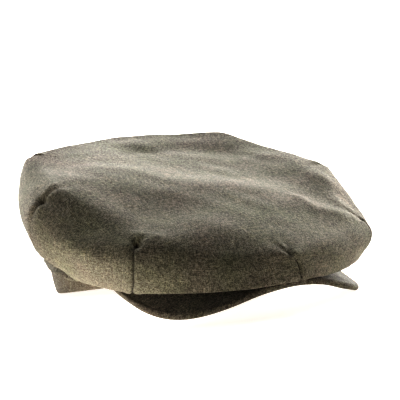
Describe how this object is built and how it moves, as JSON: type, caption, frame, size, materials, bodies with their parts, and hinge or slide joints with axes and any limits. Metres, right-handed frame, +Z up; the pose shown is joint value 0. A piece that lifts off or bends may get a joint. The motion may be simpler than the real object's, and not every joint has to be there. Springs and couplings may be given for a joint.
{
  "type": "flat cap",
  "caption": "Soft flat cap: a wide low crown drawn in at darts round its edge, a short band under it and a stiff curved peak.",
  "frame": {"origin": "on the surface that the cap rests on, under the middle of its bounding box", "axes": "+Z up, -Y towards the peak, +X towards the wearer's left"},
  "size_m": [0.244, 0.2688, 0.1101],
  "materials": {
    "crown_cloth": "matt olive grey linen with a fine flecked plain weave",
    "band_cloth": "matt olive grey linen with a fine flecked plain weave",
    "peak_cloth": "the same linen, laid smooth over a stiff peak with a rounded edge"
  },
  "bodies": {
    "root": {"crown": "crown_cloth", "band": "band_cloth", "peak": "peak_cloth"}
  },
  "joints": []
}
